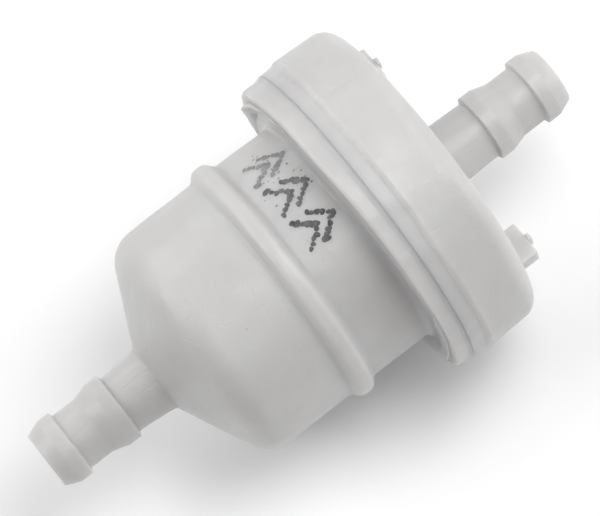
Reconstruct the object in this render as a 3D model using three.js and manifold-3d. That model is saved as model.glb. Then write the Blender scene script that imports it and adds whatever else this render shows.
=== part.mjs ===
// Inline fuel filter for a small engine: a moulded bowl and a cap spun together by friction
// welding, with a pleated paper element clamped between them.
// Millimetres. The flow axis is X: fuel enters at -X and leaves at +X. The two drive lugs lie
// along Y. The origin is on the axis, halfway along the overall length.
// "Station" means the distance from the inlet end along the axis.

import * as THREE from "three";
import { mergeVertices } from "three/addons/utils/BufferGeometryUtils.js";
import Module from "manifold-3d";

const wasm = await Module();
wasm.setup();

// ---- driving dimensions ----

const facets = 36; // sides of every turned piece
const slip = 0.1; // clearance beside pieces that slide into place

// hose barbs, the same at both ends, for a hose of 8 mm bore
const flowBore = 3; // radius of the fuel passage
const barbRoot = 4.05; // radius between the ridges
const ridgeHeight = 0.65;
const tipTaper = 0.2; // loss of radius at the tip
const ridgeReach = [3.9, 11.2]; // how far from the tip each ridge's sharp heel is
const ridgeRun = 3.9; // length of a ridge from the toe of its ramp to its heel
const ridgeLand = 1.5; // flat top of a ridge
const heelRun = 0.2; // axial run of the sharp heel
const inletLength = 17; // barb and neck, up to the cone
const inletFlare = 0.5; // growth of the inlet neck towards the cone
const outletLength = 19.1; // neck and barb, from the flat top of the cap
const outletFlare = 0.25; // growth of the outlet neck towards the cap

// bowl: cone, cylinder and stiffening bead
const bowlRadius = 16.5;
const bowlWall = 2;
const coneSlope = 0.472; // axial run per unit of radius
const shoulderFillet = 4.5;
const beadStation = 37.1;
const bead = { height: 1.2, halfWidth: 1.6 };

// bowl flange, with a gripping ring below it and the weld tongue above
const weldStation = 50.2; // plane where the flange and the cap meet
const flangeThickness = 2.9;
const flangeInset = 0.7; // the flange is this much smaller than the cap
const gripRing = { setOut: 2.5, width: 1.4, height: 0.9 };
const tongue = { setOut: 2.4, width: 1.4, height: 1.9 };
const meltHeight = 0.8; // ring of set melt on top of the tongue

// cap
const skirtWall = 2; // beside the tongue
const capWall = 2.5; // above the tongue
const capDepth = 10.7; // from the weld plane to the flat top
const capTop = 2.2; // thickness of the flat top
const capFillet = 2.3;
const capDraft = 0.35; // loss of radius up the skirt
const rimStep = { inset: 0.45, height: 2.3 }; // shallow step round the foot of the skirt
const clampWall = 1.8; // cap's inner ring, which clamps the element
const lug = { inset: 6.8, length: 5, thickness: 2.5, height: 3 };
const nib = { length: 1, height: 0.6 };

// filter element
const flowGap = 1.1; // between the end plates' cups and the bowl's wall
const seatRise = 1.3; // from the top of the cone to the bottom plate
const plateThickness = 1.2;
const cup = { wall: 0.8, depth: 2.5 };
const plateRimGap = 0.4; // from the top plate's rim to the tongue
const plateLip = 0.4; // the top plate's hole is this much inside the tube's bore
const gasket = { width: 1.4, thickness: 1 };
const bondThickness = 1.2;
const pleatCount = 26;
const pleatPlay = 0.6; // from the pleats' crests to the cup, and from their valleys to the tube
const paper = 0.45; // thickness of the paper
const tubeOuter = 5.9;
const tubeWall = 0.9;
const tubeHole = { radius: 0.9, rows: 4, perRow: 6, sides: 8 };
const clip = { wall: 0.3, cover: 0.4 }; // cover is the share of a pleat's depth that it grips

// centring ribs inside the bowl, each with a foot that the bottom plate stands on
const ribCount = 6;
const rib = { width: 1.2, length: 8.8, play: 0.2, foot: 1.4 };

// ---- helpers ----

// A corner [radius, station, fillet] becomes the points of an arc tangent to both its sides.
function filletPoints(before, corner, after) {
  const tip = new THREE.Vector2(corner[0], corner[1]);
  const fillet = corner[2] ?? 0;
  if (fillet === 0) return [tip];
  const back = new THREE.Vector2(before[0], before[1]).sub(tip);
  const ahead = new THREE.Vector2(after[0], after[1]).sub(tip);
  const room = 0.48 * Math.min(back.length(), ahead.length());
  const half = back.angleTo(ahead) / 2;
  const tangent = Math.min(fillet / Math.tan(half), room);
  const radius = tangent * Math.tan(half);
  const start = tip.clone().addScaledVector(back.normalize(), tangent);
  const end = tip.clone().addScaledVector(ahead.normalize(), tangent);
  const inward = back.add(ahead).normalize();
  const centre = tip.clone().addScaledVector(inward, radius / Math.sin(half));
  const first = start.sub(centre);
  const turn = Math.sign(first.cross(end.sub(centre))) * (Math.PI - 2 * half);
  const steps = Math.max(2, Math.ceil(Math.abs(turn) / 0.4));
  const onArc = (_, i) => first.clone().rotateAround(new THREE.Vector2(), (turn * i) / steps).add(centre);
  return Array.from({ length: steps + 1 }, onArc);
}

// Revolves a closed outline of [radius, station, fillet] corners about the flow axis.
function turned(corners) {
  const wrap = (i) => corners[(i + corners.length) % corners.length];
  const points = corners.flatMap((corner, i) => filletPoints(wrap(i - 1), corner, wrap(i + 1)));
  if (THREE.ShapeUtils.area(points) < 0) points.reverse();
  if (points[0].x > 0) points.push(points[0].clone());
  return new THREE.LatheGeometry(points, facets).rotateZ(-Math.PI / 2);
}

// A flat ring or washer between two radii and two stations.
function ring(inner, outer, from, to) {
  return turned([[inner, from], [outer, from], [outer, to], [inner, to]]);
}

// A block lying along +Y from one radius to another, centred on the axial plane.
function radialBlock(innerRadius, outerRadius, from, to, width) {
  const block = new THREE.BoxGeometry(to - from, outerRadius - innerRadius, width);
  return block.translate((from + to) / 2, (innerRadius + outerRadius) / 2, 0);
}

function toSolid(geometry) {
  const bare = geometry.clone();
  bare.deleteAttribute("normal");
  bare.deleteAttribute("uv");
  const merged = mergeVertices(bare, 1e-4);
  const vertProperties = merged.attributes.position.array;
  const triVerts = Uint32Array.from(merged.index.array);
  return new wasm.Manifold(new wasm.Mesh({ numProp: 3, vertProperties, triVerts }));
}

function toGeometry(solid) {
  const mesh = solid.getMesh();
  const geometry = new THREE.BufferGeometry();
  geometry.setAttribute("position", new THREE.BufferAttribute(mesh.vertProperties, 3));
  geometry.setIndex(new THREE.BufferAttribute(mesh.triVerts, 1));
  geometry.computeVertexNormals();
  return geometry;
}

function joined(geometries) {
  const [first, ...rest] = geometries.map(toSolid);
  return toGeometry(rest.reduce((whole, next) => whole.add(next), first));
}

function drilled(geometry, drills) {
  return toGeometry(drills.map(toSolid).reduce((whole, next) => whole.subtract(next), toSolid(geometry)));
}

// Outer outline of a barb. place(d) turns a distance from the tip into a station.
function barbOutline(place) {
  const outline = [[barbRoot - tipTaper, place(0)]];
  for (const heel of ridgeReach) {
    const toe = heel - ridgeRun;
    if (toe > 0) outline.push([barbRoot, place(toe)]);
    outline.push([barbRoot + ridgeHeight, place(heel - ridgeLand)]);
    outline.push([barbRoot + ridgeHeight, place(heel)]);
    outline.push([barbRoot, place(heel + heelRun)]);
  }
  return outline;
}

// ---- radii and stations that follow from the dimensions above ----

const bowlInner = bowlRadius - bowlWall;
const tongueInner = bowlRadius + tongue.setOut;
const tongueOuter = tongueInner + tongue.width;
const grooveOuter = tongueOuter + 2 * slip;
const capRadius = grooveOuter + skirtWall;
const flangeRadius = capRadius - flangeInset;
const gripInner = bowlRadius + gripRing.setOut;
const clampOuter = tongueInner - 3 * slip;
const clampInner = clampOuter - clampWall;
const plateRadius = bowlInner - flowGap;
const plateRim = tongueInner - plateRimGap;
const cupInner = plateRadius - cup.wall;
const tubeInner = tubeOuter - tubeWall;
const pleatOuter = cupInner - pleatPlay;
const pleatInner = tubeOuter + pleatPlay;

const neckRadius = barbRoot + inletFlare;
const coneOuter = (radius) => inletLength + (radius - neckRadius) * coneSlope;
const coneInner = (radius) => coneOuter(radius) + bowlWall * Math.hypot(1, coneSlope);
const flangeUnderside = weldStation - flangeThickness;
const tongueTop = weldStation + tongue.height;
const meltTop = tongueTop + meltHeight;
const rimTop = weldStation + plateThickness;
const gasketTop = rimTop + gasket.thickness;
const capTopStation = weldStation + capDepth;
const roofStation = capTopStation - capTop;
const overallLength = capTopStation + outletLength;
const elementStation = coneInner(bowlInner) + seatRise;
const bottomPlateTop = elementStation + plateThickness;
const pleatFrom = bottomPlateTop + bondThickness;
const pleatTo = weldStation - bondThickness;

// ---- pieces ----

// Round stiffening bead on the bowl: an arc through its two feet and its peak.
function beadOutline() {
  const radius = (bead.halfWidth ** 2 + bead.height ** 2) / (2 * bead.height);
  const centre = bowlRadius + bead.height - radius;
  const reach = Math.acos((radius - bead.height) / radius);
  const steps = 6;
  const onArc = (_, i) => {
    const angle = -reach + (2 * reach * i) / steps;
    return [centre + radius * Math.cos(angle), beadStation + radius * Math.sin(angle)];
  };
  return Array.from({ length: steps + 1 }, onArc);
}

// Bowl: inlet barb, cone, cylinder and flange, with centring ribs and feet for the element.
function bowlHousing() {
  const shell = turned([
    [flowBore, 0],
    ...barbOutline((d) => d),
    [neckRadius, inletLength, 1],
    [bowlRadius, coneOuter(bowlRadius), shoulderFillet],
    ...beadOutline(),
    [bowlRadius, flangeUnderside],
    [gripInner, flangeUnderside],
    [gripInner, flangeUnderside - gripRing.height],
    [gripInner + gripRing.width, flangeUnderside - gripRing.height],
    [gripInner + gripRing.width, flangeUnderside],
    [flangeRadius, flangeUnderside],
    [flangeRadius, weldStation],
    [tongueOuter, weldStation],
    [tongueOuter, tongueTop],
    [tongueInner, tongueTop],
    [tongueInner, weldStation],
    [bowlInner, weldStation],
    [bowlInner, coneInner(bowlInner), shoulderFillet - bowlWall],
    [flowBore, coneInner(flowBore)],
  ]);
  const anchor = bowlInner + bowlWall / 3;
  const ribFrom = elementStation - rib.foot;
  const footInner = plateRadius - rib.foot;
  const ribs = Array.from({ length: ribCount }, (_, i) => {
    const angle = (2 * Math.PI * i) / ribCount;
    const guide = radialBlock(plateRadius + rib.play, anchor, ribFrom, elementStation + rib.length, rib.width);
    const foot = radialBlock(footInner, anchor, coneOuter(footInner) + bowlWall, elementStation, rib.width);
    return [guide.rotateX(angle), foot.rotateX(angle)];
  });
  return joined([shell, ...ribs.flat()]);
}

// Cap: outlet barb, flat top with two drive lugs, skirt, and an inner ring that clamps the gasket.
function outletCap() {
  const skirtFoot = capRadius - rimStep.inset;
  const stepTop = weldStation + rimStep.height;
  const bodyOuter = capRadius - capDraft;
  const pocketOuter = bodyOuter - capWall;
  const shell = turned([
    [flowBore, overallLength],
    [flowBore, roofStation],
    [clampInner, roofStation],
    [clampInner, gasketTop],
    [clampOuter, gasketTop],
    [clampOuter, roofStation - 0.5],
    [pocketOuter, roofStation - 0.5],
    [pocketOuter, meltTop],
    [grooveOuter, meltTop],
    [grooveOuter, weldStation],
    [skirtFoot, weldStation],
    [skirtFoot, stepTop - rimStep.inset / 2],
    [capRadius, stepTop],
    [bodyOuter, capTopStation, capFillet],
    [barbRoot + outletFlare, capTopStation, 0.6],
    ...barbOutline((d) => overallLength - d).reverse(),
  ]);
  const lugRadius = capRadius - lug.inset;
  const sunk = capTopStation - capTop / 4;
  const lugTop = capTopStation + lug.height;
  const onCap = (length, top) =>
    radialBlock(lugRadius - length / 2, lugRadius + length / 2, sunk, top, lug.thickness);
  const lugs = [0, Math.PI].flatMap((angle) => [
    onCap(lug.length, lugTop).rotateX(angle),
    onCap(nib.length, lugTop + nib.height).rotateX(angle),
  ]);
  return joined([shell, ...lugs]);
}

// Ring of set melt that fills the joint above the tongue and holds the two halves together.
function weldBead() {
  return ring(tongueInner + slip, tongueOuter, tongueTop, meltTop);
}

function rimGasket() {
  const middle = (clampInner + clampOuter) / 2;
  return ring(middle - gasket.width / 2, middle + gasket.width / 2, rimTop, gasketTop);
}

// Open end plate: its rim is clamped on the flange, its cup holds the paper's end.
function topEndPlate() {
  return turned([
    [tubeInner - plateLip, weldStation],
    [cupInner, weldStation],
    [cupInner, weldStation - cup.depth],
    [plateRadius, weldStation - cup.depth],
    [plateRadius, weldStation],
    [plateRim, weldStation],
    [plateRim, rimTop],
    [tubeInner - plateLip, rimTop],
  ]);
}

// Closed end plate, a shallow cup that stands on the feet of the bowl's ribs.
function bottomEndPlate() {
  return turned([
    [0, elementStation],
    [plateRadius, elementStation],
    [plateRadius, bottomPlateTop + cup.depth],
    [cupInner, bottomPlateTop + cup.depth],
    [cupInner, bottomPlateTop],
    [0, bottomPlateTop],
  ]);
}

// Perforated tube that stops the pleats collapsing inwards.
function supportTube() {
  const tube = ring(tubeInner, tubeOuter, bottomPlateTop, weldStation);
  const pitch = (pleatTo - pleatFrom) / tubeHole.rows;
  const drills = Array.from({ length: tubeHole.rows * tubeHole.perRow }, (_, i) => {
    const row = Math.floor(i / tubeHole.perRow);
    const angle = (2 * Math.PI * (i + (row % 2) / 2)) / tubeHole.perRow;
    const drill = new THREE.CylinderGeometry(tubeHole.radius, tubeHole.radius, 3 * tubeWall, tubeHole.sides);
    drill.translate(pleatFrom + pitch * (row + 0.5), tubeInner + tubeWall / 2, 0);
    return drill.rotateX(angle);
  });
  return drilled(tube, drills);
}

// Point on the pleated paper's cross-section, in the plane across the axis.
function polar(radius, angle) {
  return new THREE.Vector2(radius * Math.cos(angle), radius * Math.sin(angle));
}

// Star of folded paper: one closed outline round the outside, the same folds inside it as a hole.
function pleatedPaper() {
  const fold = Math.PI / pleatCount;
  const star = (outer, inner, outerHalf, innerHalf) => {
    const points = [];
    for (let i = 0; i < pleatCount; i += 1) {
      const crest = 2 * fold * i;
      points.push(polar(outer, crest - outerHalf / outer), polar(outer, crest + outerHalf / outer));
      points.push(polar(inner, crest + fold - innerHalf / inner));
      points.push(polar(inner, crest + fold + innerHalf / inner));
    }
    return points;
  };
  const section = new THREE.Shape(star(pleatOuter, pleatInner + paper, paper, paper / 4));
  section.holes.push(new THREE.Path(star(pleatOuter - paper, pleatInner, paper / 4, paper / 2)));
  const paperRun = new THREE.ExtrudeGeometry(section, { depth: pleatTo - pleatFrom, bevelEnabled: false });
  return paperRun.rotateY(Math.PI / 2).translate(pleatFrom, 0, 0);
}

// Ring of adhesive that seals the paper's end in its cup.
function bondRing(from) {
  return ring(tubeOuter + slip, cupInner - slip, from, from + bondThickness);
}

// Folded strip pinched over the crest where the two ends of the paper meet.
function seamClip() {
  const valley = pleatInner + paper;
  const valleyHalf = valley * Math.sin(Math.PI / pleatCount) - paper / 4;
  const splay = (valleyHalf - paper) / (pleatOuter - valley);
  const depth = clip.cover * (pleatOuter - pleatInner);
  const foot = pleatOuter - depth;
  const inside = paper + slip;
  const insideFoot = inside + splay * depth;
  const crest = pleatOuter + slip;
  const section = new THREE.Shape([
    new THREE.Vector2(crest + clip.wall, -inside - clip.wall),
    new THREE.Vector2(crest + clip.wall, inside + clip.wall),
    new THREE.Vector2(foot, insideFoot + clip.wall),
    new THREE.Vector2(foot, insideFoot),
    new THREE.Vector2(crest, inside),
    new THREE.Vector2(crest, -inside),
    new THREE.Vector2(foot, -insideFoot),
    new THREE.Vector2(foot, -insideFoot - clip.wall),
  ]);
  const strip = new THREE.ExtrudeGeometry(section, { depth: pleatTo - pleatFrom, bevelEnabled: false });
  return strip.rotateY(Math.PI / 2).translate(pleatFrom, 0, 0);
}

// ---- assembly ----

const finishes = {
  nylon: { color: 0xd8d8d6, roughness: 0.45, metalness: 0 },
  melt: { color: 0xcfcfcb, roughness: 0.35, metalness: 0 },
  plate: { color: 0xe2ddd0, roughness: 0.5, metalness: 0 },
  rubber: { color: 0x1c1c1e, roughness: 0.8, metalness: 0 },
  paper: { color: 0xd9b877, roughness: 0.9, metalness: 0 },
  bond: { color: 0xb9a26a, roughness: 0.4, metalness: 0 },
  tin: { color: 0xb9bcc0, roughness: 0.35, metalness: 1 },
};

const filter = new THREE.Group();
filter.position.x = -overallLength / 2;

function place(name, geometry, finish) {
  const mesh = new THREE.Mesh(geometry, new THREE.MeshStandardMaterial(finishes[finish]));
  mesh.name = name;
  filter.add(mesh);
}

place("bowl_housing", bowlHousing(), "nylon");
place("outlet_cap", outletCap(), "nylon");
place("weld_bead", weldBead(), "melt");
place("rim_gasket", rimGasket(), "rubber");
place("top_end_plate", topEndPlate(), "plate");
place("bottom_end_plate", bottomEndPlate(), "plate");
place("support_tube", supportTube(), "tin");
place("pleated_paper", pleatedPaper(), "paper");
place("top_bond", bondRing(pleatTo), "bond");
place("bottom_bond", bondRing(bottomPlateTop), "bond");
place("seam_clip", seamClip(), "tin");

export default filter;
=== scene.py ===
import math

import bpy
import numpy as np
from mathutils import Matrix, Vector


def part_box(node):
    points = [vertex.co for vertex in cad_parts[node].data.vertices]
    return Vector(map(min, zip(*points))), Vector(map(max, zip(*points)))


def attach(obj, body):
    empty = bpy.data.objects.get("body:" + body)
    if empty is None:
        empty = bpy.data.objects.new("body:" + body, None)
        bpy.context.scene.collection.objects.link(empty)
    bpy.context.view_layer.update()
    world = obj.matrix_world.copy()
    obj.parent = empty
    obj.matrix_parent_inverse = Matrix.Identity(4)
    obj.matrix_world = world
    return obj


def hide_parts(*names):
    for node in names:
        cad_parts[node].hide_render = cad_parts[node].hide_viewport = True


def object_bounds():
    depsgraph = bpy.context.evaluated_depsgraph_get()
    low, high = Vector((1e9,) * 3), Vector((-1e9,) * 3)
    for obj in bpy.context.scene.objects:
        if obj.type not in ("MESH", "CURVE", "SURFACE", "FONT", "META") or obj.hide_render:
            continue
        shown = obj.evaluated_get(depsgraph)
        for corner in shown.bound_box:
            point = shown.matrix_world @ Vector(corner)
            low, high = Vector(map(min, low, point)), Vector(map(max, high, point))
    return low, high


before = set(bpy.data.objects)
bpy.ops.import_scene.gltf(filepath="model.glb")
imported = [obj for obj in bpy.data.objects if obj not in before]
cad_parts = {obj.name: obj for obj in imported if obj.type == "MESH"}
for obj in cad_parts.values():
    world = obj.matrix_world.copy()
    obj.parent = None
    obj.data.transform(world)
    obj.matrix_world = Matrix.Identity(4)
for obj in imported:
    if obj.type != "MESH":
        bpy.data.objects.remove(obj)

cad_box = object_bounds()

# ------------------------------------------------------------------ camera
# A long lens looks down on the filter, level with the inlet end and turned a little round the
# flow axis, so that one drive lug leans towards it. The picture is rolled to lay the filter
# on a diagonal.
mm = 0.001
inlet_x = cad_box[0].x
aim_station, aim_aside, eye_distance = 40.6, 0.9, 456
axis_point = Vector((inlet_x + aim_station * mm, 0, 0))
lean = math.radians(22.0)
roll = math.radians(37.45)
toward = Vector((0, -math.sin(lean), math.cos(lean)))
eye = Vector((inlet_x, 0, 0)) + toward * eye_distance * mm
across = toward.cross(Vector((1, 0, 0)))
target = axis_point + across * aim_aside * mm
back = (eye - target).normalized()
flow = (Vector((1, 0, 0)) - back * back.x).normalized()
side = back.cross(flow)
right = flow * math.cos(roll) - side * math.sin(roll)
up = flow * math.sin(roll) + side * math.cos(roll)
camera_data = bpy.data.cameras.new("camera")
camera_data.lens = 219
camera_data.clip_start = 0.01
camera = bpy.data.objects.new("camera", camera_data)
camera.matrix_world = Matrix.Translation(eye) @ Matrix((right, up, back)).transposed().to_4x4()
bpy.context.scene.collection.objects.link(camera)
bpy.context.scene.camera = camera


# ------------------------------------------------------------------ bowl
# The real bowl is one injection moulding of natural, milky nylon: hose barb, neck, cone,
# cylinder with a stiffening bead, and the flange that is spun onto the cap. Six ribs inside
# centre the element. It joins the cap by friction welding.

def outline(corners, longest=0.7, turn_step=0.16):
    """Points (station, radius) of a closed outline. Each corner is (station, radius, fillet), and a
    fillet becomes an arc tangent to both its sides. Straight runs are cut into lengths of at most
    `longest`."""
    corners = [np.array((*c, 0.0)[:3], float) for c in corners]
    points = []
    for before, here, after in zip(corners[-1:] + corners[:-1], corners, corners[1:] + corners[:1]):
        tip, fillet = here[:2], here[2]
        if fillet == 0:
            points.append(tip[None])
            continue
        to_before, to_after = before[:2] - tip, after[:2] - tip
        room = 0.49 * min(np.hypot(*to_before), np.hypot(*to_after))
        to_before, to_after = to_before / np.hypot(*to_before), to_after / np.hypot(*to_after)
        half = math.acos(np.clip(to_before @ to_after, -1, 1)) / 2
        tangent = min(fillet / math.tan(half), room)
        radius = tangent * math.tan(half)
        inward = (to_before + to_after) / np.hypot(*(to_before + to_after))
        centre = tip + inward * radius / math.sin(half)
        arm = tip + to_before * tangent - centre
        sweep = math.pi - 2 * half
        side_of = np.sign(arm[0] * (tip - centre)[1] - arm[1] * (tip - centre)[0])
        angles = side_of * np.linspace(0, sweep, max(3, math.ceil(sweep / turn_step) + 1))
        cos, sin = np.cos(angles), np.sin(angles)
        points.append(centre + np.stack([arm[0] * cos - arm[1] * sin, arm[0] * sin + arm[1] * cos], 1))
    line = np.vstack(points)
    gaps = np.hypot(*(np.roll(line, -1, 0) - line).T)
    pieces = np.maximum(1, np.ceil(gaps / longest).astype(int))
    start = np.repeat(np.arange(len(line)), pieces)
    share = np.arange(pieces.sum()) - np.repeat(np.cumsum(pieces) - pieces, pieces)
    share = (share / pieces[start])[:, None]
    return line[start] * (1 - share) + np.roll(line, -1, 0)[start] * share


def piece_from_grid(name, grid, closed_rows=True):
    """One mesh object from a grid of points, rows by columns, in metres. Columns always close on
    themselves, rows close too where closed_rows is true, and an open grid's first and last row
    are a single point each, its poles."""
    rows, columns = grid.shape[:2]
    i, j = np.meshgrid(np.arange(rows if closed_rows else rows - 1), np.arange(columns), indexing="ij")
    below, beside = (i + 1) % rows, (j + 1) % columns
    number = np.arange(rows * columns).reshape(rows, columns)
    points = grid.reshape(-1, 3)
    if not closed_rows:
        number[0], number[-1] = number[0, 0], number[-1, 0]
    corners = np.stack([number[i, j], number[i, beside], number[below, beside], number[below, j]], -1)
    used, corners = np.unique(corners.reshape(-1, 4), return_inverse=True)
    corners, points = corners.reshape(-1, 4), points[used]
    centre = points.mean(0)
    a, b, c, d = (points[corners[:, k]] - centre for k in range(4))
    volume = np.einsum("ij,ij->i", a, np.cross(b, c) + np.cross(c, d)).sum()
    if volume < 0:
        corners = corners[:, ::-1]
    faces = [tuple(dict.fromkeys(face)) for face in corners.tolist()]
    mesh = bpy.data.meshes.new(name)
    mesh.from_pydata(points, [], faces)
    mesh.polygons.foreach_set("use_smooth", np.ones(len(faces), bool))
    piece = bpy.data.objects.new(name, mesh)
    bpy.context.scene.collection.objects.link(piece)
    return piece


def revolve(name, line, around=192, warp=None):
    """Surface of revolution about the flow axis: each (station, radius) of the line is carried
    round the axis. warp(station, radius, angle) may move points along or away from the axis. A
    line that starts on the axis is cut where it comes back to it."""
    if line[0, 1] == 0:
        line = line[:np.flatnonzero(line[:, 1] > 0)[-1] + 2]
    angle = np.linspace(0, 2 * np.pi, around, endpoint=False)[None, :]
    station = line[:, :1] + 0 * angle
    radius = line[:, 1:2] + 0 * angle
    if warp:
        station, radius = warp(station, radius, angle)
    grid = np.stack([inlet_x + station * mm, radius * np.cos(angle) * mm, radius * np.sin(angle) * mm], -1)
    return piece_from_grid(name, grid, closed_rows=line[0, 1] > 0)


def waviness(station, angle, size):
    """Slow unevenness of a moulded wall: a sum of sines along and round the part."""
    slow = np.sin(2 * angle + 0.21 * station) + np.sin(3 * angle - 0.35 * station + 1.3)
    quick = np.sin(5 * angle + 0.6 * station + 0.4) + np.sin(0.9 * station + 2.1 * np.sin(angle))
    return size * (slow + 0.6 * quick) / 3


barb_root, barb_crest, barb_tip, bore = 4.05, 4.7, 3.85, 3.0
heels, lands, ridge_run, heel_run = (3.75, 11.3), (1.7, 1.8), 3.9, 0.22
wall_wave = 0.05


def barb(place):
    """Outline of the outside of a barb: a rounded tip and two ridges, each a ramp, a land and a
    sharp heel. place turns a distance from the tip into a station."""
    first, second = heels
    return [
        (place(0), barb_tip, 0.3),
        (place(first - lands[0]), barb_crest - 0.03, 0.7), (place(first), barb_crest, 0.12),
        (place(first + heel_run), barb_root, 0.18), (place(second - ridge_run), barb_root, 1.6),
        (place(second - lands[1]), barb_crest, 0.8), (place(second), barb_crest, 0.12),
        (place(second + heel_run), barb_root + 0.02, 0.2),
    ]


cone_start, cone_slope, bowl_radius, bowl_wall = 17.0, 0.472, 16.45, 2.0
bead_station, bead_half, bead_height = 37.1, 1.75, 1.2
weld_station, flange_radius, underside = 50.2, 21.75, 47.55
tongue_in, tongue_out, tongue_height = 18.9, 20.3, 1.9
neck_radius = barb_root + 0.5
shoulder_station = cone_start + (bowl_radius - neck_radius) * cone_slope
wall_run = bowl_wall * math.hypot(1, cone_slope)
bowl_inner = bowl_radius - bowl_wall
upper_side, near_side = lean, lean + math.pi / 2


def off_barb(radius):
    """0 on the barbs and 1 on the wide body, rising in between, so that only the body waves."""
    return np.clip((radius - 6) / 4, 0, 1)


def rim_edge(angle):
    """How far the welded rim strays from a true circle: a bulge on one side and a few fine sines.
    Bowl and cap share it, because they were melted together."""
    bulge = 0.14 * (1 + np.cos(angle - near_side))
    return bulge + 0.05 * np.sin(11 * angle + 1) + 0.04 * np.sin(23 * angle) + 0.03 * np.sin(41 * angle + 2)


def flange_warp(station, radius, angle):
    """The welded flange isn't quite square or round: its underside lies nearer the inlet on one
    side, and its rim bulges a little on another. The wall has a slow waviness of a few
    hundredths."""
    skew_from, edge_from = 44.5, 20.6
    near = np.clip((station - skew_from) / 2.5, 0, 1) * np.clip((weld_station - station) / 2.2, 0, 1)
    outside = np.clip((radius - bowl_radius + 0.4) / 0.6, 0, 1)
    skew = -0.5 * np.cos(angle - upper_side) + 0.1 * np.sin(3 * angle + 0.6) + 0.05 * np.sin(7 * angle)
    station = station + near * outside * skew
    edge = np.clip((radius - edge_from) / 0.8, 0, 1)
    wave = waviness(station, angle, wall_wave) * off_barb(radius)
    return station, radius + wave + edge * rim_edge(angle)


bowl_line = outline([
    (0, bore, 0.25), *barb(lambda d: d),
    (13.5, 4.22, 4), (cone_start - 1.0, 4.45, 1.5), (cone_start, neck_radius + 0.05, 0.8),
    (shoulder_station, bowl_radius, 4.6),
    (bead_station - bead_half - 0.1, bowl_radius + 0.05, 0.9),
    (bead_station - 0.8, bowl_radius + bead_height, 1.1),
    (bead_station + 0.8, bowl_radius + bead_height, 1.1),
    (bead_station + bead_half + 0.1, bowl_radius, 0.8),
    (underside, bowl_radius - 0.05, 0.8),
    (underside, flange_radius, 0.5), (weld_station - 0.7, flange_radius, 0.8),
    (weld_station, flange_radius + 0.2, 0.03),
    (weld_station, tongue_out), (weld_station + tongue_height, tongue_out, 0.2),
    (weld_station + tongue_height, tongue_in, 0.2), (weld_station, tongue_in),
    (weld_station, bowl_inner, 0.2),
    (shoulder_station + wall_run - bowl_wall * cone_slope, bowl_inner, 2.6),
    (cone_start + wall_run - (neck_radius - bore) * cone_slope, bore, 1.0),
])
bowl = revolve("bowl", bowl_line, around=256, warp=flange_warp)


def surface_group(name, inputs, outputs):
    """An empty shader node group with float or colour inputs and outputs, ready to be wired."""
    group = bpy.data.node_groups.new(name, "ShaderNodeTree")
    for label, kind, value in inputs:
        socket = group.interface.new_socket(label, in_out="INPUT", socket_type=kind)
        socket.default_value = value
    for label, kind in outputs:
        group.interface.new_socket(label, in_out="OUTPUT", socket_type=kind)
    return group, group.nodes.new("NodeGroupInput"), group.nodes.new("NodeGroupOutput")


def wire(tree, *pairs):
    """Links each pair of an output and an input socket."""
    for start, end in pairs:
        tree.links.new(start, end)


def noise(tree, coordinates, scale, detail=2.0, roughness=0.5):
    """Value of a noise texture at the coordinates."""
    node = tree.nodes.new("ShaderNodeTexNoise")
    node.inputs["Scale"].default_value = scale
    node.inputs["Detail"].default_value = detail
    node.inputs["Roughness"].default_value = roughness
    tree.links.new(coordinates, node.inputs["Vector"])
    return node.outputs["Fac"]


def stretch(tree, value, low, high, to_low=0.0, to_high=1.0):
    """Maps a value from one range to another, clamped."""
    node = tree.nodes.new("ShaderNodeMapRange")
    for label, number in (("From Min", low), ("From Max", high), ("To Min", to_low), ("To Max", to_high)):
        node.inputs[label].default_value = number
    tree.links.new(value, node.inputs["Value"])
    return node.outputs["Result"]


def blend_colours(tree, share, one, other):
    """Mix of two colours, each a tuple or a socket, by a share."""
    node = tree.nodes.new("ShaderNodeMix")
    node.data_type = "RGBA"
    tree.links.new(share, node.inputs["Factor"])
    for socket, colour in ((node.inputs["A"], one), (node.inputs["B"], other)):
        if isinstance(colour, tuple):
            socket.default_value = (*colour, 1)
        else:
            tree.links.new(colour, socket)
    return node.outputs["Result"]


def add_up(tree, *values):
    """Sum of several values."""
    total = values[0]
    for value in values[1:]:
        node = tree.nodes.new("ShaderNodeMath")
        node.operation = "ADD"
        wire(tree, (total, node.inputs[0]), (value, node.inputs[1]))
        total = node.outputs[0]
    return total


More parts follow.
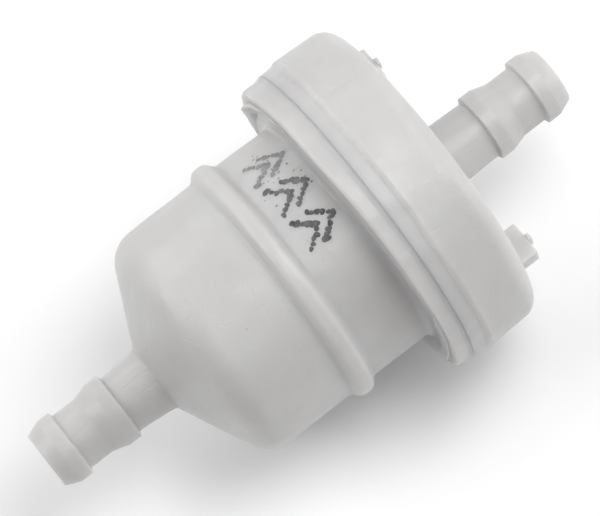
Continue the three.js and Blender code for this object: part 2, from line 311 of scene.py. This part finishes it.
def moulded_surface():
    """Node group for moulded plastic: cloudy colour, dirt specks, satin patches and a fine pebble
    with a few long scuffs for the bump."""
    group, source, sink = surface_group(
        "moulded_surface",
        [("Base", "NodeSocketColor", (0.8, 0.8, 0.8, 1)), ("Cloud", "NodeSocketColor", (0.7, 0.7, 0.7, 1)),
         ("Speck", "NodeSocketColor", (0.2, 0.18, 0.16, 1))],
        [("Color", "NodeSocketColor"), ("Roughness", "NodeSocketFloat"), ("Height", "NodeSocketFloat")])
    where = group.nodes.new("ShaderNodeTexCoord").outputs["Object"]
    cloud = stretch(group, noise(group, where, 90, 3), 0.38, 0.66)
    veil = stretch(group, noise(group, where, 420, 2), 0.45, 0.75, 0, 0.35)
    colour = blend_colours(group, cloud, source.outputs["Base"], source.outputs["Cloud"])
    colour = blend_colours(group, veil, colour, source.outputs["Cloud"])
    cells = group.nodes.new("ShaderNodeTexVoronoi")
    cells.inputs["Scale"].default_value = 260
    wire(group, (where, cells.inputs["Vector"]))
    speck = stretch(group, cells.outputs["Distance"], 0.035, 0.06, 0.75, 0)
    rare = stretch(group, noise(group, where, 170, 1), 0.6, 0.66)
    mask = group.nodes.new("ShaderNodeMath")
    mask.operation = "MULTIPLY"
    wire(group, (speck, mask.inputs[0]), (rare, mask.inputs[1]))
    colour = blend_colours(group, mask.outputs[0], colour, source.outputs["Speck"])
    satin = stretch(group, noise(group, where, 260, 4, 0.6), 0.3, 0.7, 0.34, 0.5)
    pebble = stretch(group, noise(group, where, 2600, 3), 0.2, 0.8, 0, 0.35)
    drag = group.nodes.new("ShaderNodeMapping")
    drag.inputs["Scale"].default_value = (120, 900, 900)
    drag.inputs["Rotation"].default_value = (0.3, 0.2, 0.9)
    wire(group, (where, drag.inputs["Vector"]))
    scuff = stretch(group, noise(group, drag.outputs["Vector"], 1.0, 2), 0.66, 0.72, 0, -0.5)
    hollow = stretch(group, noise(group, where, 300, 1), 0.3, 0.7, 0, 0.9)
    wire(group, (colour, sink.inputs["Color"]), (satin, sink.inputs["Roughness"]),
         (add_up(group, pebble, scuff, hollow), sink.inputs["Height"]))
    return group


def plastic(name, base, cloud, speck, scatter=0.0, bump=0.06, gloss=0.0):
    """Material for a moulded piece: the surface group feeds colour, roughness and bump."""
    material = bpy.data.materials.new(name)
    material.use_nodes = True
    tree = material.node_tree
    shader = tree.nodes["Principled BSDF"]
    skin = tree.nodes.new("ShaderNodeGroup")
    skin.node_tree = bpy.data.node_groups.get("moulded_surface") or moulded_surface()
    for label, colour in (("Base", base), ("Cloud", cloud), ("Speck", speck)):
        skin.inputs[label].default_value = (*colour, 1)
    relief = tree.nodes.new("ShaderNodeBump")
    relief.inputs["Distance"].default_value = bump * mm
    wire(tree, (skin.outputs["Color"], shader.inputs["Base Color"]),
         (skin.outputs["Roughness"], shader.inputs["Roughness"]),
         (skin.outputs["Height"], relief.inputs["Height"]),
         (relief.outputs["Normal"], shader.inputs["Normal"]))
    shader.inputs["IOR"].default_value = 1.5
    shader.inputs["Coat Weight"].default_value = gloss
    shader.inputs["Coat Roughness"].default_value = 0.25
    if scatter:
        shader.inputs["Subsurface Weight"].default_value = 0.7
        shader.inputs["Subsurface Radius"].default_value = (1.0, 0.95, 0.88)
        shader.inputs["Subsurface Scale"].default_value = scatter * mm
    return material


nylon = plastic("natural_nylon", (0.545, 0.54, 0.537), (0.51, 0.5, 0.497), (0.2, 0.18, 0.16), scatter=3.2)
bowl.data.materials.append(nylon)
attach(bowl, "root")
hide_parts("bowl_housing")


# ------------------------------------------------------------------ centring ribs
# The real ribs are moulded with the bowl: six upright guides that centre the element, each with
# a foot on the cone that the element's closed plate stands on.

def lofted_block(name, profile, core, turn=0.0, corner_steps=12):
    """A block with rounded corners. Its section across the flow is a rectangle, core = (middle,
    half length along the radius, half width), grown by a reach that follows the profile of
    (station, reach). The ends close in a pole. turn carries it round the flow axis."""
    middle, half_length, half_width = core
    corner = np.linspace(0, np.pi / 2, corner_steps)
    bearing = np.concatenate([corner + quarter * np.pi / 2 for quarter in range(4)])
    to_length = np.repeat([1, -1, -1, 1], corner_steps) * half_length
    to_width = np.repeat([1, 1, -1, -1], corner_steps) * half_width
    station, reach = (column[:, None] for column in np.array(profile, float).T)
    outward = to_length + reach * np.cos(bearing)
    sideways = to_width + reach * np.sin(bearing)
    outward[[0, -1]] = sideways[[0, -1]] = 0
    outward = outward + middle
    x = inlet_x + (station + 0 * outward) * mm
    y = (outward * math.cos(turn) - sideways * math.sin(turn)) * mm
    z = (outward * math.sin(turn) + sideways * math.cos(turn)) * mm
    return piece_from_grid(name, np.stack([x, y, z], -1), closed_rows=False)


def rounded_ends(low, high, edge, steps=6):
    """Profile (station, reach) of a block with quarter-round edges at both ends. The flat of each
    end starts a hair out from the core, so that its corner points stay apart."""
    t = np.linspace(0.08, np.pi / 2, steps)
    rise = np.stack([low + edge * (1 - np.cos(t)), edge * np.sin(t)], 1)
    fall = np.stack([high - edge * (1 - np.cos(t)), edge * np.sin(t)], 1)[::-1]
    return np.vstack([[low, 0], rise, fall, [high, 0]])


plate_radius, rib_play, rib_width, rib_length, rib_foot, rib_edge = 13.4, 0.2, 1.2, 8.8, 1.4, 0.25
plate_seat = (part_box("bottom_end_plate")[0].x - inlet_x) / mm
anchor = bowl_inner + bowl_wall / 3
guide_in, foot_in = plate_radius + rib_play, plate_radius - rib_foot
foot_from = cone_start + (foot_in - neck_radius) * cone_slope + bowl_wall
rib_count = 6
for k in range(rib_count):
    turn = math.radians(360 / rib_count * k)
    for part, inside, low, high in (("guide", guide_in, plate_seat - rib_foot, plate_seat + rib_length),
                                    ("foot", foot_in, foot_from, plate_seat)):
        core = ((inside + anchor) / 2, (anchor - inside) / 2 - rib_edge, rib_width / 2 - rib_edge)
        rib = lofted_block(f"rib_{part}_{k + 1}", rounded_ends(low, high, rib_edge), core, turn)
        rib.data.materials.append(nylon)
        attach(rib, "root")
        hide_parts("bowl_housing")


# ------------------------------------------------------------------ grip ring
# Under the real flange runs a low ring of nylon. The welding fixture's grip has pushed it to a
# sharp wedge on one side, left it a square nub on the other, and pressed it into the flange in
# between.

ring_out, ring_in, ring_foot = 20.4, 19.05, bowl_radius + 0.1
ring_tip, ring_flank, ring_root = 46.5, 47.7, 48.6


def ring_warp(station, radius, angle):
    """Towards the upper side the ring leans nearer the inlet and its inner flank slopes more, so
    that the section turns from a square nub into a wedge. It sinks lower in between, by a power
    of the cosine, and its lip is ragged by sines of several periods."""
    share = (1 + np.cos(angle - upper_side)) / 2
    lip = np.clip((ring_root - station) / (ring_root - ring_tip), 0, 1)
    sink = 0.25 * (1 - share) + 1.05 * abs(np.cos(angle - near_side)) ** 0.6
    skew = sink - 0.5 * np.cos(angle - upper_side) + 0.36 * share ** 3 * (ring_out - radius)
    tear = 0.03 * np.sin(19 * angle + 4 * np.sin(2 * angle)) + 0.06 * np.sin(7 * angle + 2)
    tear = tear + 0.04 * np.sin(61 * angle + 3 * np.sin(3 * angle)) * np.sin(4 * angle)
    swell = 0.05 * np.sin(11 * angle) + 0.04 * np.sin(29 * angle + 1)
    return station + lip * (skew + tear), radius + lip * swell


ring_line = outline([(ring_tip, ring_out, 0.22), (ring_tip, ring_in, 0.5), (ring_flank, ring_foot),
                     (ring_root, ring_foot), (ring_root, ring_out)], longest=0.35)
grip_ring = revolve("grip_ring", ring_line, around=720, warp=ring_warp)
grip_ring.data.materials.append(nylon)
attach(grip_ring, "root")
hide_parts("bowl_housing")


# ------------------------------------------------------------------ closed end plate
# The real bottom plate is a shallow moulded cup that closes the element and holds the paper's end.
# It stands on the ribs' feet and is potted with adhesive.

plate_thick, cup_wall, cup_depth = 1.2, 0.8, 2.5
cup_inner = plate_radius - cup_wall
plate_top = plate_seat + plate_thick
bottom_plate = revolve("bottom_plate", outline([
    (plate_seat, 0), (plate_seat, plate_radius, 0.4), (plate_top + cup_depth, plate_radius, 0.25),
    (plate_top + cup_depth, cup_inner, 0.25), (plate_top, cup_inner, 0.3), (plate_top, 0)]))
ivory = plastic("ivory_plastic", (0.62, 0.58, 0.5), (0.58, 0.53, 0.45), (0.25, 0.2, 0.14), bump=0.05)
bottom_plate.data.materials.append(ivory)
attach(bottom_plate, "root")
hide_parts("bottom_end_plate")


# ------------------------------------------------------------------ bottom bond
# Potting adhesive, poured into the cup as a liquid, seals the paper's lower end. It sets with a
# raised edge where it wets the walls.

tube_outer, slip, bond_thick, pleats = 5.9, 0.1, 1.2, 26
bond_in, bond_out = tube_outer + slip, cup_inner - slip


def poured(station_of_surface, toward_paper):
    """Warp for a poured ring: its free surface is low in the middle, rises to both walls by a ramp
    in the radius, and ripples where the pleats dip in, by one sine wave for each pleat."""
    def warp(station, radius, angle):
        free = np.exp(-((station - station_of_surface) / 0.15) ** 2)
        inward = np.clip((radius - bond_in) / 0.9, 0, 1) * np.clip((bond_out - radius) / 0.9, 0, 1)
        ripple = 0.05 * np.sin(pleats * angle) * inward
        return station - toward_paper * free * (0.18 * inward + ripple), radius
    return warp


bond_surface = plate_top + bond_thick
bottom_bond = revolve("lower_bond", outline([
    (plate_top, bond_in), (plate_top, bond_out), (bond_surface, bond_out), (bond_surface, bond_in)],
    longest=0.4), around=12 * pleats, warp=poured(bond_surface, 1))
adhesive = plastic("potting_adhesive", (0.4, 0.27, 0.1), (0.33, 0.21, 0.07), (0.12, 0.07, 0.03), gloss=0.4)
bottom_bond.data.materials.append(adhesive)
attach(bottom_bond, "root")
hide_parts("bottom_bond")


# ------------------------------------------------------------------ support tube
# The real core is a tinplate tube with punched holes, rolled and lapped, that keeps the pleats
# from collapsing inwards. The tube and the folded clip on the paper's seam keep the meshes of
# the loaded model, and share one material.

def rolled_tinplate():
    """Material for tinplate: bright grains of tin, rolling marks along the strip, dull patches."""
    material = bpy.data.materials.new("rolled_tinplate")
    material.use_nodes = True
    tree = material.node_tree
    shader = tree.nodes["Principled BSDF"]
    where = tree.nodes.new("ShaderNodeTexCoord").outputs["Object"]
    grain = tree.nodes.new("ShaderNodeTexVoronoi")
    grain.inputs["Scale"].default_value = 700
    wire(tree, (where, grain.inputs["Vector"]))
    spangle = stretch(tree, grain.outputs["Distance"], 0.1, 0.7)
    rolled = tree.nodes.new("ShaderNodeMapping")
    rolled.inputs["Scale"].default_value = (200, 6000, 6000)
    wire(tree, (where, rolled.inputs["Vector"]))
    marks = noise(tree, rolled.outputs["Vector"], 1.0, 3)
    colour = blend_colours(tree, spangle, (0.62, 0.63, 0.65), (0.5, 0.5, 0.51))
    wire(tree, (colour, shader.inputs["Base Color"]),
         (stretch(tree, marks, 0.3, 0.7, 0.24, 0.42), shader.inputs["Roughness"]))
    relief = tree.nodes.new("ShaderNodeBump")
    relief.inputs["Distance"].default_value = 0.01 * mm
    wire(tree, (marks, relief.inputs["Height"]), (relief.outputs["Normal"], shader.inputs["Normal"]))
    shader.inputs["Metallic"].default_value = 1.0
    return material


tinplate = rolled_tinplate()
for node in ("support_tube", "seam_clip"):
    holder = bpy.data.objects[node]
    holder.data.materials.clear()
    holder.data.materials.append(tinplate)


# ------------------------------------------------------------------ pleated paper
# Resin-treated filter paper folded into 26 pleats and closed to a star round the tube. Its two
# ends meet in one pleat, which the tinplate clip pinches shut.

paper, pleat_out, pleat_in = 0.45, 12.0, 6.5
pleat_from, pleat_to = bond_surface, (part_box("pleated_paper")[1].x - inlet_x) / mm


def pleat_star(crest_half, valley_half, fold_round, rows):
    """Grid of the folded sheet: a star of straight flanks with rounded folds, drawn once across
    the axis, set off by half the paper's thickness to either side, and carried along the flow.
    Slow sines along the flow make the flanks bow a little."""
    corners = []
    for k in range(pleats):
        crest, fold = 2 * math.pi * k / pleats, math.pi / pleats
        for radius, half, bearing in ((pleat_out - paper / 2, crest_half, crest),
                                      (pleat_in + paper / 2, valley_half, crest + fold)):
            for swing in (-half / radius, half / radius):
                turn = bearing + swing
                corners.append((radius * math.cos(turn), radius * math.sin(turn), fold_round))
    line = outline(corners, longest=1.4, turn_step=0.35)
    tangent = np.roll(line, -1, 0) - np.roll(line, 1, 0)
    normal = np.stack([tangent[:, 1], -tangent[:, 0]], 1) / np.hypot(*tangent.T)[:, None]
    along = np.linspace(pleat_from, pleat_to, rows)
    along = np.concatenate([along, along[::-1]])[:, None]
    offset = np.repeat([paper / 2, -paper / 2], rows)[:, None]
    bow = 0.05 * np.sin(0.5 * along + 3 * np.arange(len(line))[None, :] / len(line) * 2 * np.pi)
    y = line[:, 0] + (offset + bow) * normal[:, 0]
    z = line[:, 1] + (offset + bow) * normal[:, 1]
    return np.stack([inlet_x + (along + 0 * y) * mm, y * mm, z * mm], -1)


pleated_sheet = piece_from_grid("pleated_sheet", pleat_star(0.28, 0.24, 0.3, rows=14))


def filter_paper():
    """Material for resin-treated paper: matted fibres in two directions, blotchy resin."""
    material = bpy.data.materials.new("filter_paper")
    material.use_nodes = True
    tree = material.node_tree
    shader = tree.nodes["Principled BSDF"]
    where = tree.nodes.new("ShaderNodeTexCoord").outputs["Object"]
    strands = []
    for spin in ((0.2, 0.1, 0.5), (1.1, 0.7, -0.4)):
        lay = tree.nodes.new("ShaderNodeMapping")
        lay.inputs["Rotation"].default_value = spin
        lay.inputs["Scale"].default_value = (900, 6000, 6000)
        wire(tree, (where, lay.inputs["Vector"]))
        strands.append(noise(tree, lay.outputs["Vector"], 1.0, 3))
    mat = add_up(tree, *strands)
    blotch = stretch(tree, noise(tree, where, 350, 3), 0.35, 0.7)
    colour = blend_colours(tree, blotch, (0.62, 0.43, 0.17), (0.5, 0.33, 0.12))
    colour = blend_colours(tree, stretch(tree, mat, 0.8, 1.3, 0, 0.5), colour, (0.72, 0.56, 0.3))
    relief = tree.nodes.new("ShaderNodeBump")
    relief.inputs["Distance"].default_value = 0.05 * mm
    wire(tree, (colour, shader.inputs["Base Color"]), (mat, relief.inputs["Height"]),
         (relief.outputs["Normal"], shader.inputs["Normal"]),
         (stretch(tree, blotch, 0, 1, 0.92, 0.75), shader.inputs["Roughness"]))
    return material


pleated_sheet.data.materials.append(filter_paper())
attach(pleated_sheet, "root")
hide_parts("pleated_paper")


# ------------------------------------------------------------------ top bond
# The same potting adhesive seals the paper's upper end in the open plate's cup.

top_bond = revolve("upper_bond", outline([
    (pleat_to, bond_in), (pleat_to, bond_out), (weld_station, bond_out), (weld_station, bond_in)],
    longest=0.4), around=12 * pleats, warp=poured(pleat_to, -1))
top_bond.data.materials.append(adhesive)
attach(top_bond, "root")
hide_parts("top_bond")


# ------------------------------------------------------------------ open end plate
# The real top plate has a hole for the cleaned fuel, a cup for the paper's end and a thin rim
# that is clamped between bowl and cap, so all the fuel has to pass the paper.

plate_hole, plate_rim, rim_thick = 4.6, 18.5, 1.2
rim_top = weld_station + rim_thick
top_plate = revolve("top_plate", outline([
    (weld_station, plate_hole, 0.3), (weld_station, cup_inner, 0.2),
    (weld_station - cup_depth, cup_inner, 0.25), (weld_station - cup_depth, plate_radius, 0.25),
    (weld_station, plate_radius, 0.2), (weld_station, plate_rim, 0.3), (rim_top, plate_rim, 0.3),
    (rim_top, plate_hole, 0.3)]))
top_plate.data.materials.append(ivory)
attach(top_plate, "root")
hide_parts("top_end_plate")


# ------------------------------------------------------------------ gasket
# A flat ring of black rubber that the cap's inner ring presses onto the open plate's rim.

seal_thick, seal_in, seal_out = 1.0, 17.0, 18.4
seal = revolve("rim_seal", outline([
    (rim_top, seal_in, 0.2), (rim_top, seal_out, 0.2), (rim_top + seal_thick, seal_out, 0.2),
    (rim_top + seal_thick, seal_in, 0.2)], longest=0.4))
rubber = plastic("black_rubber", (0.022, 0.022, 0.023), (0.035, 0.034, 0.033), (0.1, 0.1, 0.1), bump=0.04)
seal.data.materials.append(rubber)
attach(seal, "root")
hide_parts("rim_gasket")


# ------------------------------------------------------------------ cap
# The real cap is moulded in the same nylon: outlet barb, flat top, a skirt that steps in twice
# towards the joint, and an inner ring that presses the gasket onto the element.

cap_radius, cap_depth, cap_top, cap_fillet = 22.5, 10.7, 2.2, 2.4
top_station = weld_station + cap_depth
roof_station = top_station - cap_top
gasket_top = rim_top + seal_thick
melt_height = 0.8
melt_top = weld_station + tongue_height + melt_height
overall = (cad_box[1].x - inlet_x) / mm
clamp_out, clamp_in, pocket, groove_out = 18.6, 16.8, 19.7, 20.5
foot_radius, step_from, step_to, draft = 21.97, 52.1, 52.9, 0.42


def cap_warp(station, radius, angle):
    """The skirt's foot follows the welded rim's edge, the step above it wanders along the flow, and
    the wall has the bowl's slow waviness."""
    outside = np.clip((radius - 21) / 0.8, 0, 1)
    foot = np.clip((step_to + 0.3 - station) / 0.9, 0, 1) * outside
    step_line = np.exp(-((station - (step_from + step_to) / 2) / 0.5) ** 2) * outside
    drift = 0.1 * np.sin(4 * angle + 1) + 0.05 * np.sin(13 * angle)
    wave = waviness(station, angle, wall_wave) * off_barb(radius)
    return station + step_line * drift, radius + foot * rim_edge(angle) + wave


cap_line = outline([
    (overall, bore, 0.25), (roof_station, bore, 0.8), (roof_station, clamp_in, 0.6),
    (gasket_top, clamp_in, 0.15), (gasket_top, clamp_out, 0.15), (roof_station - 0.5, clamp_out, 0.3),
    (roof_station - 0.5, pocket, 0.3), (melt_top, pocket, 0.1), (melt_top, groove_out),
    (weld_station, groove_out), (weld_station, foot_radius, 0.03), (step_from, foot_radius + 0.06, 0.5),
    (step_to, cap_radius - 0.04, 0.6), (top_station, cap_radius - draft, cap_fillet),
    (top_station, barb_root + 0.25, 0.7), (top_station + 6, barb_root + 0.08, 3),
    *barb(lambda d: overall - d)[::-1],
])
cap = revolve("cap", cap_line, around=256, warp=cap_warp)
cap.data.materials.append(nylon)
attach(cap, "root")
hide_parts("outlet_cap")


# ------------------------------------------------------------------ drive lugs
# Two moulded lugs stand on the cap's flat top, opposite each other. The welding machine drove
# the cap round by them. Each has a small nib in the middle of its top.

lug_radius, lug_length, lug_width, lug_height, lug_edge, lug_fillet = 15.7, 5.0, 2.5, 3.0, 0.3, 0.35
nib_length, nib_width, nib_height, nib_edge, sunk = 1.0, 2.0, 0.6, 0.15, 0.5


def standing(floor, top, edge, fillet):
    """Profile (station, reach) of a block that stands on a floor: sunk a little way in, a concave
    fillet at its foot, straight flanks, and a quarter-round edge at the top."""
    t = np.linspace(0, np.pi / 2 - 0.08, 6)
    foot = np.stack([floor + fillet * (1 - np.cos(t)), edge + fillet * (1 - np.sin(t))], 1)
    head = np.stack([top - edge * (1 - np.sin(t)), edge * np.cos(t)], 1)
    return np.vstack([[floor - sunk, 0], [floor - sunk, edge + fillet], foot, head, [top, 0]])


lug_top = top_station + lug_height
for side_name, turn in (("near", math.pi), ("far", 0.0)):
    for part, length, width, floor, top, edge, fillet in (
            ("lug", lug_length, lug_width, top_station, lug_top, lug_edge, lug_fillet),
            ("nib", nib_length, nib_width, lug_top, lug_top + nib_height, nib_edge, 0.08)):
        core = (lug_radius, length / 2 - edge, width / 2 - edge)
        block = lofted_block(f"{part}_{side_name}", standing(floor, top, edge, fillet), core, turn)
        block.data.materials.append(nylon)
        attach(block, "root")
        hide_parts("outlet_cap")


# ------------------------------------------------------------------ set melt
# Spinning the cap melts the bowl's tongue into the cap's groove. The melt sets as a ring above
# the tongue and is what holds the two halves together.

def melt_warp(station, radius, angle):
    """The set melt is lumpy: short waves in height and width round the joint."""
    lump = 0.05 * np.sin(31 * angle) + 0.04 * np.sin(53 * angle + 1) + 0.03 * np.sin(12 * angle + 2)
    upper = np.clip((station - weld_station - tongue_height) / 0.5, 0, 1)
    return station - 0.04 * upper + lump * upper * 0.6, radius + lump * 0.4


melt = revolve("set_melt", outline([
    (weld_station + tongue_height, tongue_in + 0.15, 0.1), (weld_station + tongue_height, tongue_out, 0.1),
    (melt_top - 0.05, tongue_out - 0.05, 0.25), (melt_top - 0.05, tongue_in + 0.2, 0.25)], longest=0.3),
    around=512, warp=melt_warp)
melted = plastic("melted_nylon", (0.56, 0.55, 0.53), (0.5, 0.48, 0.45), (0.25, 0.2, 0.15),
                 scatter=1.2, gloss=0.3)
melt.data.materials.append(melted)
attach(melt, "root")
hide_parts("weld_bead")


# ------------------------------------------------------------------ ink mark
# A dot printer's mark on the cylinder, next to the flange: three double chevrons that point
# along the flow. Each dot is a thin blot of grey ink, partly smeared into the next.

mark_from, chevron_rise, tandem, chevron_half = 40.9, 2.6, 2.3, 2.0
chevron_bearings = (63.0, 83.0, 102.0)
dots_per_stroke, dust_count, blot_sides = 6, 40, 16


def blots(place, size, stretch_along, tone):
    """Lens-shaped blots on the cylinder, as one grid each: across a blot the height over the wall
    falls from the middle to the rim as 1 - r squared, with a rim whose radius wavers with the
    angle. The underside is a shallow cup inside the wall."""
    share = np.array([0, 0.45, 0.8, 1.0, 0.6, 0.0])[None, :, None]
    lift = np.array([0.03, 0.028, 0.018, -0.02, -0.12, -0.12])[None, :, None]
    bearing = np.linspace(0, 2 * np.pi, blot_sides, endpoint=False)[None, None, :]
    phase = place[:, :1, None] * 7 + place[:, 1:, None] * 13
    waver = 1 + 0.13 * np.sin(2 * bearing + phase) + 0.09 * np.sin(3 * bearing - 2 * phase)
    reach = size[:, None, None] * share * waver
    station = place[:, :1, None] + reach * np.cos(bearing) * stretch_along[:, None, None]
    angle = place[:, 1:, None] + reach * np.sin(bearing) / bowl_radius
    radius = bowl_radius + waviness(station, angle, wall_wave) + lift
    x = inlet_x + station * mm
    points = np.stack([x + 0 * radius, radius * np.cos(angle) * mm, radius * np.sin(angle) * mm], -1)
    count, rings = len(place), share.shape[1]
    first = np.arange(count)[:, None, None] * rings * blot_sides
    ring, slot = np.meshgrid(np.arange(rings - 1), np.arange(blot_sides), indexing="ij")
    number = np.arange(rings * blot_sides).reshape(rings, blot_sides)
    number[0], number[-1] = number[0, 0], number[-1, 0]
    beside = (slot + 1) % blot_sides
    face = np.stack([number[ring, slot], number[ring, beside],
                     number[ring + 1, beside], number[ring + 1, slot]], -1)
    face = (face.reshape(1, -1, 4) + first).reshape(-1, 4)
    used, face = np.unique(face, return_inverse=True)
    tones = np.repeat(tone, rings * blot_sides)[used]
    return points.reshape(-1, 3)[used], face.reshape(-1, 4), tones


rng = np.random.default_rng(7)
stroke = np.linspace(-1, 1, 2 * dots_per_stroke - 1)
chevron = np.stack([mark_from + chevron_rise * (1 - abs(stroke)), chevron_half * stroke / bowl_radius], 1)
pair = np.concatenate([chevron, chevron + (tandem, 0)])
marks = np.concatenate([pair + (0, math.radians(middle)) for middle in chevron_bearings])
marks = marks + rng.normal(0, 1, marks.shape) * (0.09, 0.005)
blot_size = rng.uniform(0.31, 0.42, len(marks))
smear = np.where(rng.random(len(marks)) < 0.2, 1.5, 1.0)
fade = np.repeat([0.5, 0.85, 1.0], len(pair)) * rng.uniform(0.85, 1.0, len(marks))
dust = np.stack([rng.normal(mark_from + 2, 1.6, dust_count), np.radians(rng.normal(76, 13, dust_count))], 1)
marks = np.concatenate([marks, dust])
blot_size = np.concatenate([blot_size, rng.uniform(0.04, 0.11, dust_count)])
smear = np.concatenate([smear, rng.uniform(1, 2, dust_count)])
fade = np.concatenate([fade, rng.uniform(0.3, 0.8, dust_count)])
blot_points, blot_faces, blot_tones = blots(marks, blot_size, smear, fade)
mark_mesh = bpy.data.meshes.new("ink_mark")
mark_mesh.from_pydata(blot_points, [], [tuple(dict.fromkeys(face)) for face in blot_faces.tolist()])
mark_mesh.attributes.new("ink_strength", "FLOAT", "POINT").data.foreach_set("value", blot_tones)
mark = bpy.data.objects.new("ink_mark", mark_mesh)
bpy.context.scene.collection.objects.link(mark)


def printing_ink():
    """Material for the mark: the dot's strength blends worn grey into near black, and a fine
    noise breaks it up."""
    material = bpy.data.materials.new("printing_ink")
    material.use_nodes = True
    tree = material.node_tree
    shader = tree.nodes["Principled BSDF"]
    strength = tree.nodes.new("ShaderNodeAttribute")
    strength.attribute_name = "ink_strength"
    where = tree.nodes.new("ShaderNodeTexCoord").outputs["Object"]
    worn = noise(tree, where, 1500, 3)
    share = add_up(tree, strength.outputs["Fac"], stretch(tree, worn, 0.4, 0.8, 0, -0.35))
    colour = blend_colours(tree, share, (0.36, 0.35, 0.35), (0.03, 0.03, 0.033))
    wire(tree, (colour, shader.inputs["Base Color"]),
         (stretch(tree, worn, 0.3, 0.7, 0.45, 0.7), shader.inputs["Roughness"]))
    return material


mark_mesh.materials.append(printing_ink())
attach(mark, "root")
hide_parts("bowl_housing")


# ------------------------------------------------------------------ floor and light
# A plain pale floor touches the cap from below. Five soft lights stand round the filter, the
# strongest over its inlet end, and a dim white surrounding fills the shadows.
floor_mesh = bpy.data.meshes.new("floor")
floor_half, floor_z = 3.0, cad_box[0].z
floor_corners = [(x, y, floor_z) for x, y in ((-floor_half, -floor_half), (floor_half, -floor_half),
                                              (floor_half, floor_half), (-floor_half, floor_half))]
floor_mesh.from_pydata(floor_corners, [], [(0, 1, 2, 3)])
floor = bpy.data.objects.new("floor", floor_mesh)
bpy.context.scene.collection.objects.link(floor)
floor_paint = bpy.data.materials.new("floor_paint")
floor_paint.use_nodes = True
floor_shader = floor_paint.node_tree.nodes["Principled BSDF"]
floor_shader.inputs["Base Color"].default_value = (0.95, 0.95, 0.95, 1)
floor_shader.inputs["Roughness"].default_value = 0.9
floor_shader.inputs["Specular IOR Level"].default_value = 0.0
floor.data.materials.append(floor_paint)

world = bpy.data.worlds.new("studio")
bpy.context.scene.world = world
world.use_nodes = True
surrounding = world.node_tree.nodes["Background"]
surrounding.inputs["Color"].default_value = (1, 1, 1, 1)
surrounding.inputs["Strength"].default_value = 0.28
bpy.context.scene.view_settings.view_transform = "Standard"


def soft_light(name, along, beside, toward_eye, size, power):
    """A square area light that faces the middle of the filter. Its place is given along the flow,
    to the upper side and towards the camera."""
    data = bpy.data.lights.new(name, "AREA")
    data.size = size
    data.energy = power
    light = bpy.data.objects.new(name, data)
    place = flow * along + side * beside + back * toward_eye
    light.location = place
    light.rotation_euler = (-place).to_track_quat("-Z", "Y").to_euler()
    bpy.context.scene.collection.objects.link(light)


soft_light("upper_inlet", -0.35, 0.35, 0.35, 0.35, 1.45)
soft_light("upper_graze", -0.10, 0.60, 0.10, 0.35, 0.90)
soft_light("outlet_graze", 0.55, 0.10, 0.15, 0.35, 0.45)
soft_light("outlet_fill", 0.60, -0.15, 0.30, 0.30, 1.15)
soft_light("near", 0.12, 0.05, 0.25, 0.15, 0.44)
